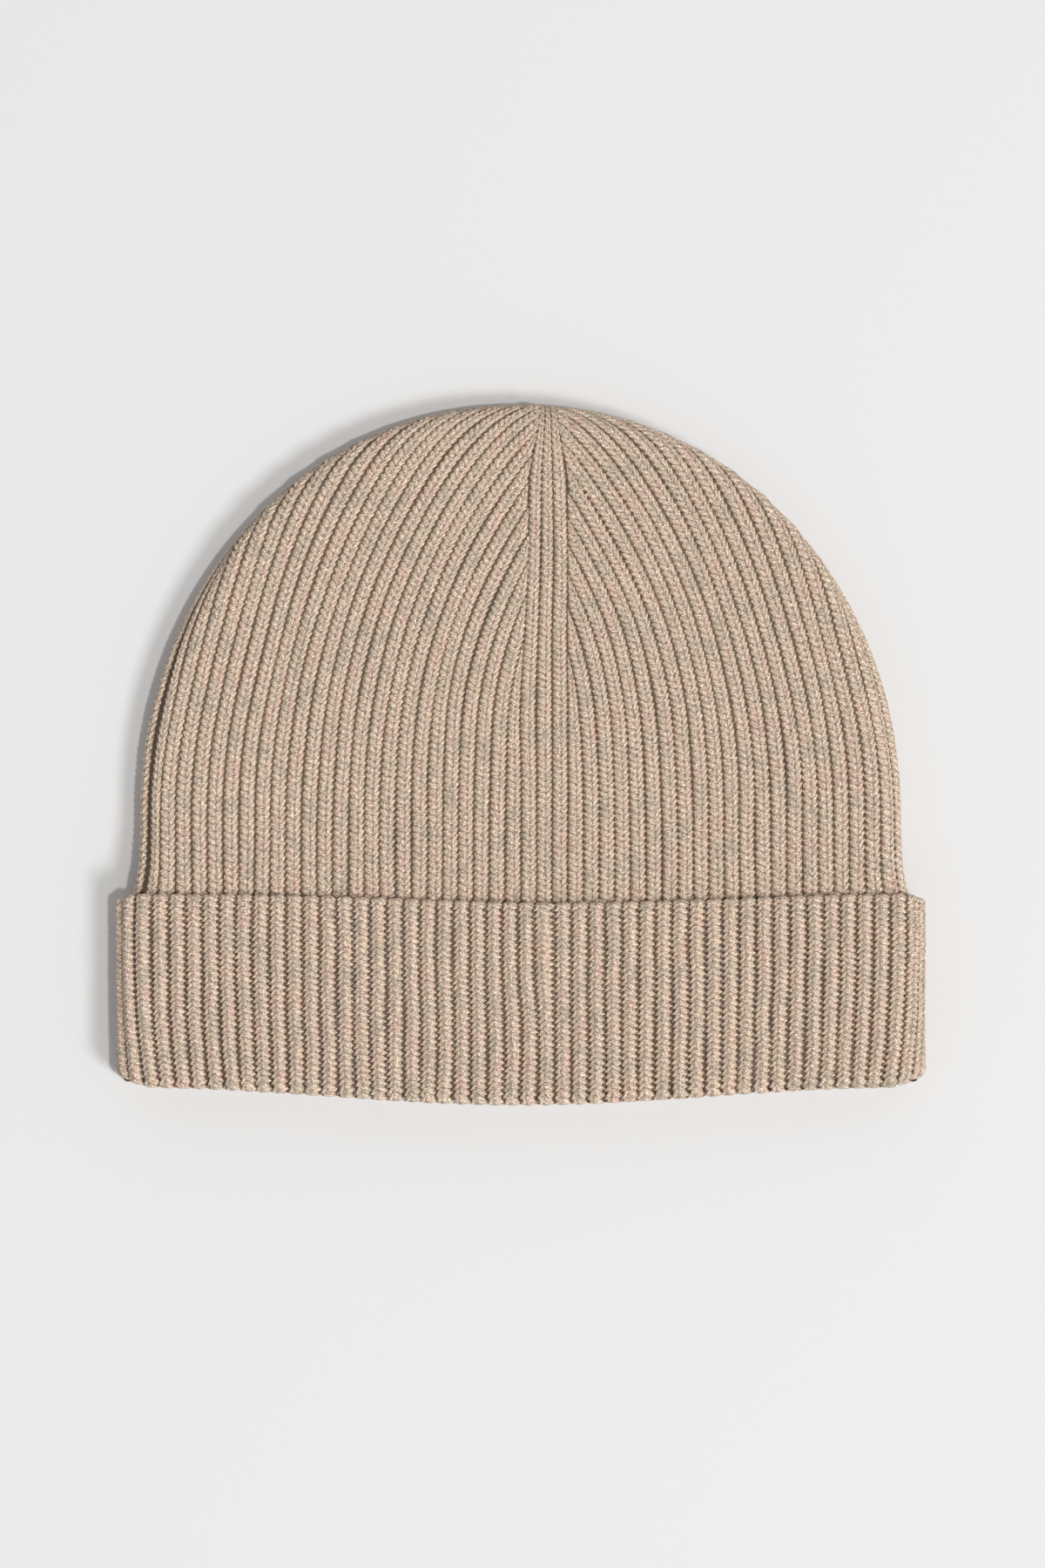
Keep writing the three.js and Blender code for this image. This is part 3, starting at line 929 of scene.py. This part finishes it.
LABEL_WIDTH, LABEL_LENGTH, LABEL_THICKNESS = 26.0, 20.0, 0.3
LABEL_PLACE = (-30.0, -66.0)
LABEL_TOP = BODY_FLOOR + BODY_THICKNESS - FABRIC - LAYER_GAP
LABEL_SLACK, LABEL_HANG, LABEL_CURL = 0.35, 0.7, 0.35
LABEL_RIM = 0.02
STITCH_LENGTH, STITCH_GAP = 1.9, 0.7
STITCH_INSET, STITCH_DROP, STITCH_ARCH = 1.5, 0.28, 0.12
LABEL_SIDE_MARGIN = 4


def label_height(x, y):
    """The label hangs a little from its sewn edge, and its corners curl."""
    down = (LABEL_PLACE[1] + LABEL_LENGTH / 2 - y) / LABEL_LENGTH
    across = (x - LABEL_PLACE[0]) / (LABEL_WIDTH / 2)
    return LABEL_TOP - LABEL_SLACK - LABEL_HANG * down**2 - LABEL_CURL * down * across**2


def build_label(mesh):
    """A woven tab: two faces joined round the edge."""
    share_x = np.linspace(-0.5, 0.5, 40)[None, :]
    share_y = np.linspace(-0.5, 0.5, 32)[:, None]
    x = LABEL_PLACE[0] + share_x * LABEL_WIDTH
    y = LABEL_PLACE[1] + share_y * LABEL_LENGTH
    middle = label_height(x, y)
    inset = np.minimum(0.5 - np.abs(share_x), 0.5 - np.abs(share_y))
    rim = np.sqrt(np.clip(inset / LABEL_RIM, 0.0, 1.0))
    for side, shift in ((1, 0.0), (-1, 0.5)):
        z = middle + side * rim * LABEL_THICKNESS / 2
        points = trio(x, y, z)
        bake = pair(shift + 0.01 + 0.48 * (share_x + 0.5), 0.01 + 0.98 * (share_y + 0.5))
        weave = pair(share_x * LABEL_WIDTH, share_y * LABEL_LENGTH)
        mesh.add_grid(points, weave, weave, bake, np.ones_like(middle), flip=side < 0)


def build_label_stitches(mesh):
    """A row of short sewing stitches along the label's top edge."""
    y = LABEL_PLACE[1] + LABEL_LENGTH / 2 - STITCH_INSET
    pitch = STITCH_LENGTH + STITCH_GAP
    count = int((LABEL_WIDTH - LABEL_SIDE_MARGIN) / pitch)
    for number in range(count):
        start = LABEL_PLACE[0] + (number - count / 2) * pitch + STITCH_GAP / 2
        share = np.linspace(0, 1, 12)
        x = start + share * STITCH_LENGTH
        z = label_height(x, y) - STITCH_DROP - STITCH_ARCH * np.sin(share * math.pi)
        lay_yarn(mesh, trio(x, y, z), STITCH_YARN, number, count)


# ---------------------------------------------------------------- materials


def new_material(name):
    material = bpy.data.materials.new(name)
    material.use_nodes = True
    nodes = material.node_tree.nodes
    nodes.clear()
    return material, nodes, material.node_tree.links


def mapped_noise(nodes, links, source, scale, detail, roughness):
    """A noise over the given pattern places, stretched by scale."""
    stretch = nodes.new("ShaderNodeMapping")
    stretch.inputs["Scale"].default_value = scale
    links.new(source, stretch.inputs["Vector"])
    noise = nodes.new("ShaderNodeTexNoise")
    noise.inputs["Scale"].default_value = 1.0
    noise.inputs["Detail"].default_value = detail
    noise.inputs["Roughness"].default_value = roughness
    links.new(stretch.outputs["Vector"], noise.inputs["Vector"])
    return noise.outputs["Fac"]


def remap(nodes, links, value, source, target):
    """The value moved from one range to another."""
    node = nodes.new("ShaderNodeMapRange")
    node.inputs["From Min"].default_value, node.inputs["From Max"].default_value = source
    node.inputs["To Min"].default_value, node.inputs["To Max"].default_value = target
    links.new(value, node.inputs["Value"])
    return node.outputs["Result"]


def blend_colours(nodes, links, kind, a, b, factor=None):
    """Mixes two colours or sockets; without a factor the second is taken in full."""
    node = nodes.new("ShaderNodeMix")
    node.data_type = "RGBA"
    node.blend_type = kind
    node.inputs["Factor"].default_value = 1.0
    if factor is not None:
        links.new(factor, node.inputs["Factor"])
    for name, colour in (("A", a), ("B", b)):
        if isinstance(colour, tuple):
            node.inputs[name].default_value = (*colour, 1)
        else:
            links.new(colour, node.inputs[name])
    return node.outputs["Result"]


def arithmetic(nodes, links, kind, a, b):
    node = nodes.new("ShaderNodeMath")
    node.operation = kind
    for place, value in enumerate((a, b)):
        if isinstance(value, float):
            node.inputs[place].default_value = value
        else:
            links.new(value, node.inputs[place])
    return node.outputs["Value"]


def uv_places(nodes, layer):
    node = nodes.new("ShaderNodeUVMap")
    node.uv_map = layer
    return node.outputs["UV"]


def yarn_material(name, cream, pink, grey, painted_gutter_shade):
    """Melange yarn: shades of colour along each rib, strands along each stitch, specks, and shade
    painted dark into the gutters and creases.
    """
    material, nodes, links = new_material(name)
    output = nodes.new("ShaderNodeOutputMaterial")
    shader = nodes.new("ShaderNodeBsdfPrincipled")
    links.new(shader.outputs["BSDF"], output.inputs["Surface"])
    shader.inputs["Roughness"].default_value = 0.92
    shader.inputs["Specular IOR Level"].default_value = 0.25
    shader.inputs["Sheen Weight"].default_value = 0.15
    shader.inputs["Sheen Roughness"].default_value = 0.5

    knit = uv_places(nodes, "Knit")
    strand = uv_places(nodes, "Strand")
    place = nodes.new("ShaderNodeTexCoord").outputs["Object"]

    blotch = mapped_noise(nodes, links, knit, (1.1, 0.22, 1.0), 3.0, 0.55)
    shades = nodes.new("ShaderNodeValToRGB")
    ramp = shades.color_ramp
    ramp.elements[0].position, ramp.elements[0].color = 0.36, (*grey, 1)
    ramp.elements[1].position, ramp.elements[1].color = 0.66, (*pink, 1)
    middle = ramp.elements.new(0.50)
    middle.color = (*cream, 1)
    links.new(blotch, shades.inputs["Fac"])

    plies = mapped_noise(nodes, links, strand, (5.0, 6.0, 1.0), 2.0, 0.6)
    fibre = mapped_noise(nodes, links, place, (2400.0, 2400.0, 2400.0), 3.0, 0.7)
    ply_light = remap(nodes, links, plies, (0.33, 0.67), (0.55, 1.40))
    speck = remap(nodes, links, fibre, (0.34, 0.66), (0.40, 1.58))
    light = arithmetic(nodes, links, "MULTIPLY", ply_light, speck)
    specked = blend_colours(nodes, links, "MULTIPLY", shades.outputs["Color"], light)

    # Painted shade: the mesh's painted light level blends the yarn towards a dark brown painted
    # shade colour in gutters and creases.
    painted_light = nodes.new("ShaderNodeAttribute")
    painted_light.attribute_name = "painted_light"
    ragged = remap(nodes, links, fibre, (0.3, 0.7), (-0.2, 0.2))
    raised = arithmetic(nodes, links, "ADD", painted_light.outputs["Fac"], ragged)
    painted_lit_share = remap(nodes, links, raised, (0.08, 0.90), (0.0, 1.0))
    shaded = blend_colours(nodes, links, "MIX", painted_gutter_shade, specked, painted_lit_share)
    links.new(shaded, shader.inputs["Base Color"])

    rough = arithmetic(nodes, links, "ADD", fibre, plies)
    bump = nodes.new("ShaderNodeBump")
    bump.inputs["Strength"].default_value = 0.8
    bump.inputs["Distance"].default_value = 0.0002
    links.new(rough, bump.inputs["Height"])
    links.new(bump.outputs["Normal"], shader.inputs["Normal"])
    return material


def tape_material(name, colour):
    """Woven satin tape: fine crossing threads with a few slubs."""
    material, nodes, links = new_material(name)
    output = nodes.new("ShaderNodeOutputMaterial")
    shader = nodes.new("ShaderNodeBsdfPrincipled")
    links.new(shader.outputs["BSDF"], output.inputs["Surface"])
    shader.inputs["Roughness"].default_value = 0.55
    weave = uv_places(nodes, "Knit")
    warp = mapped_noise(nodes, links, weave, (6.0, 0.6, 1.0), 2.0, 0.5)
    weft = mapped_noise(nodes, links, weave, (0.6, 6.0, 1.0), 2.0, 0.5)
    threads = arithmetic(nodes, links, "ADD", warp, weft)
    light = remap(nodes, links, threads, (0.7, 1.3), (0.86, 1.05))
    tinted = blend_colours(nodes, links, "MULTIPLY", colour, light)
    links.new(tinted, shader.inputs["Base Color"])
    bump = nodes.new("ShaderNodeBump")
    bump.inputs["Strength"].default_value = 0.4
    bump.inputs["Distance"].default_value = 0.0001
    links.new(threads, bump.inputs["Height"])
    links.new(bump.outputs["Normal"], shader.inputs["Normal"])
    return material


def linear(red, green, blue):
    """A colour given as 0 to 255 screen values, as the shader wants it."""
    values = [c / 255 for c in (red, green, blue)]
    return tuple(c / 12.92 if c < 0.04045 else ((c + 0.055) / 1.055) ** 2.4 for c in values)


yarn = yarn_material(
    "melange_yarn",
    cream=linear(228, 206, 184),
    pink=linear(226, 196, 177),
    grey=linear(209, 192, 170),
    # dark brown painted shade for gutters and creases
    painted_gutter_shade=linear(98, 76, 57),
)
linking_yarn = yarn_material(
    "linking_yarn",
    cream=linear(192, 168, 146),
    pink=linear(190, 160, 142),
    grey=linear(174, 156, 136),
    painted_gutter_shade=linear(110, 86, 66),
)
label_tape = tape_material("label_tape", linear(236, 232, 224))

# ---------------------------------------------------------------- the pieces


def place_piece(mesh, name, material, body, node):
    piece = mesh.build(name, material)
    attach(piece, body)
    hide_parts(node)
    return piece


def place_knit(name, mesh, body, node):
    place_piece(mesh, "knit_" + name, yarn, body, node)


def place_yarn(name, line, radius, body, node):
    mesh = KnitMesh()
    lay_yarn(mesh, line, radius, 0, 1)
    return place_piece(mesh, name, linking_yarn, body, node)


tube_names = ["body_tube_%s" % face_name for _, face_name in FACES]
gore_names = [
    "crown_gore_%s_%s" % (face_name, side_name) for _, face_name in FACES for _, side_name in SIDES
]
body_meshes = {name: KnitMesh() for name in tube_names + gore_names}
build_body(body_meshes)
build_body_lining(body_meshes)
for name, mesh in body_meshes.items():
    place_knit(name, mesh, "hat", "body_tube" if name in tube_names else name)

cuff_meshes = {"cuff_%s" % face_name: KnitMesh() for _, face_name in FACES}
build_cuff(cuff_meshes)
for name, mesh in cuff_meshes.items():
    place_knit(name, mesh, "cuff", "cuff")

hem_mesh = KnitMesh()
build_hem(hem_mesh)
place_knit("cuff_hem", hem_mesh, "cuff", "cuff_hem")

RIM_CLEARANCE, APEX_CLEARANCE = 0.5, 1.0
RIM_AT_SEAM = float(rim_line(SEAM_X))
SEAM_LINES = {
    "back_seam": seam_line_up(1, RIM_AT_SEAM + RIM_CLEARANCE, CROWN_BASE),
    "crown_seam_back": seam_line_up(1, CROWN_BASE, HEIGHTS[-1] - APEX_CLEARANCE),
    "crown_seam_front": seam_line_up(-1, CROWN_BASE, HEIGHTS[-1] - APEX_CLEARANCE),
    "crown_seam_left": seam_line_beside(-1),
    "crown_seam_right": seam_line_beside(1),
}
for name, line in SEAM_LINES.items():
    place_yarn("linked_" + name, line, SEAM_YARN, "hat", name)
place_yarn("linked_cuff_seam", cuff_seam_line(), SEAM_YARN, "cuff", "cuff_seam")
place_yarn("tied_crown_closure", knot_line(), KNOT_YARN, "hat", "crown_closure")

label_mesh = KnitMesh()
build_label(label_mesh)
label = place_piece(
    label_mesh, "woven_care_label", label_tape, "hat", "care_label"
)
stitch_mesh = KnitMesh()
build_label_stitches(stitch_mesh)
label_stitches = place_piece(
    stitch_mesh, "sewn_label_stitches", linking_yarn, "hat", "care_label_stitches"
)

# ---------------------------------------------------------------- the studio

scene = bpy.context.scene
scene.view_settings.view_transform = "Standard"
scene.view_settings.look = "None"


FLOOR_SIZE = 6.0
PAPER_GREY = (0.80, 0.80, 0.80, 1)
PICTURE_HEIGHT = 0.450
CAMERA_DISTANCE = 1.5
CAMERA_AIM = (0.0005, -0.009, 0.015)


def make_floor():
    bpy.ops.mesh.primitive_plane_add(size=FLOOR_SIZE, location=(0, 0, 0))
    floor = bpy.context.object
    floor.name = "floor"
    material, nodes, links = new_material("paper_floor")
    output = nodes.new("ShaderNodeOutputMaterial")
    shader = nodes.new("ShaderNodeBsdfPrincipled")
    shader.inputs["Base Color"].default_value = PAPER_GREY
    shader.inputs["Roughness"].default_value = 1.0
    shader.inputs["Specular IOR Level"].default_value = 0.0
    links.new(shader.outputs["BSDF"], output.inputs["Surface"])
    floor.data.materials.append(material)


def make_world(strength):
    world = bpy.data.worlds.new("studio")
    scene.world = world
    world.use_nodes = True
    background = world.node_tree.nodes["Background"]
    background.inputs["Color"].default_value = (1.0, 1.0, 1.0, 1)
    background.inputs["Strength"].default_value = strength


def aim(thing, target):
    direction = Vector(target) - thing.location
    thing.rotation_mode = "QUATERNION"
    thing.rotation_quaternion = direction.to_track_quat("-Z", "Y")


def make_light(name, location, size, power):
    data = bpy.data.lights.new(name, "AREA")
    data.shape = "SQUARE"
    data.size = size
    data.energy = power
    light = bpy.data.objects.new(name, data)
    scene.collection.objects.link(light)
    light.location = location
    aim(light, (0, 0, 0))


def make_camera():
    """Looks straight down, with the crown up the picture."""
    data = bpy.data.cameras.new("camera")
    camera = bpy.data.objects.new("camera", data)
    scene.collection.objects.link(camera)
    data.sensor_width = 36.0
    data.lens = data.sensor_width * CAMERA_DISTANCE / PICTURE_HEIGHT
    data.clip_end = 20.0
    aim_x, aim_y, aim_z = CAMERA_AIM
    camera.location = (aim_x, aim_y, aim_z + CAMERA_DISTANCE)
    camera.rotation_euler = (0, 0, 0)
    scene.camera = camera


make_floor()
make_world(strength=0.40)
make_light("soft_key_right", (2.6, -1.7, 4.4), size=1.3, power=122.0)
make_light("small_key_right", (1.15, -0.5, 4.8), size=0.25, power=76.0)
make_camera()
